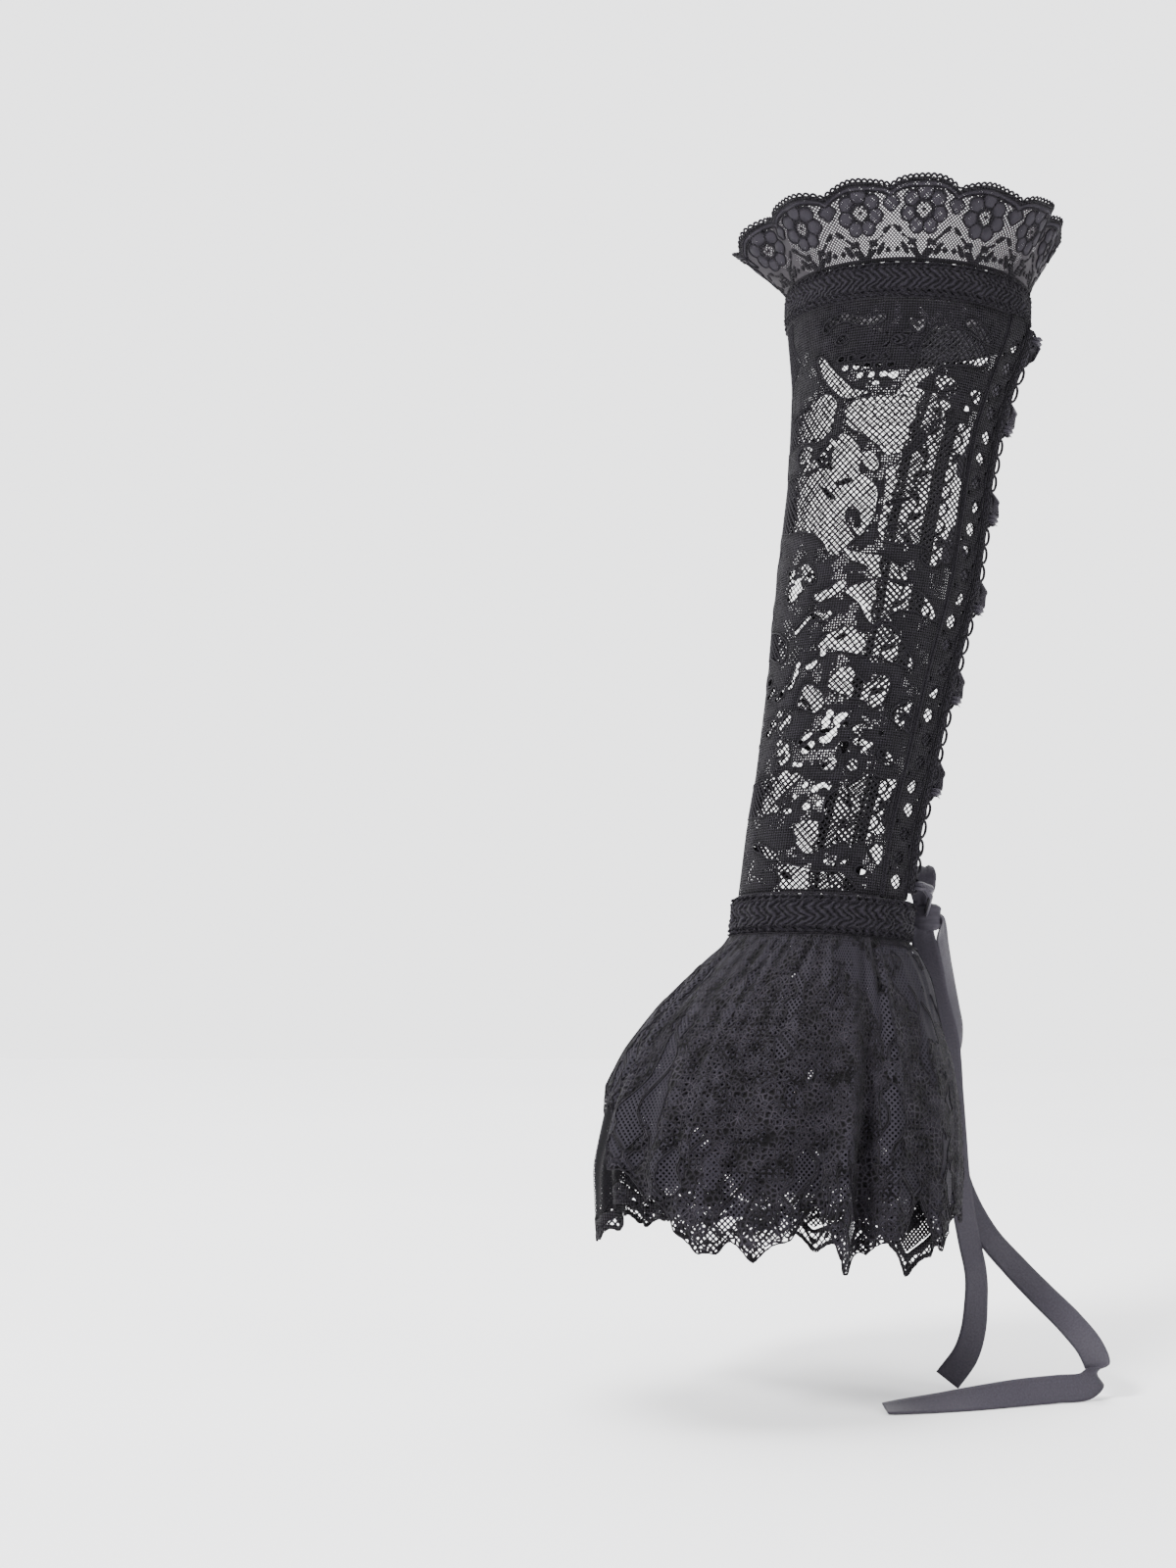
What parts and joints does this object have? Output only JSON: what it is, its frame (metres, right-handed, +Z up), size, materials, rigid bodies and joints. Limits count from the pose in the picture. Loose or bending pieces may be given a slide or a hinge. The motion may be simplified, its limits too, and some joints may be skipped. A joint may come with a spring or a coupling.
{
  "type": "laced lace oversleeve",
  "caption": "Sheer floral lace oversleeve from elbow to hand, with a scalloped top frill, side lacing of satin ribbon ending in a bow, and a layered ruffle over the hand.",
  "frame": {"origin": "centre of the arm hollow in the plane of the top band, where the forearm carries the sleeve", "axes": "+Z up towards the elbow, -Y towards the viewer of the worn right sleeve, lacing on the +X side"},
  "size_m": [0.1775, 0.1627, 0.4229],
  "materials": {
    "lace": "matte lace",
    "band": "ribbed stretch twill",
    "satin": "satin"
  },
  "bodies": {
    "root": {"top_frill": "lace", "top_band": "band", "sleeve_lace": "lace", "placket_near": "lace", "placket_far": "lace", "loop_tape_near": "lace", "loop_tape_far": "lace", "wrist_band": "band", "flounce_outer": "lace", "flounce_inner": "lace", "hem_trim": "lace", "lacing_ribbon_a": "satin", "lacing_ribbon_b": "satin", "bow_knot": "satin", "bow_loop_up": "satin", "bow_loop_side": "satin", "ribbon_tail_short": "satin", "ribbon_tail_long": "satin"}
  },
  "joints": []
}
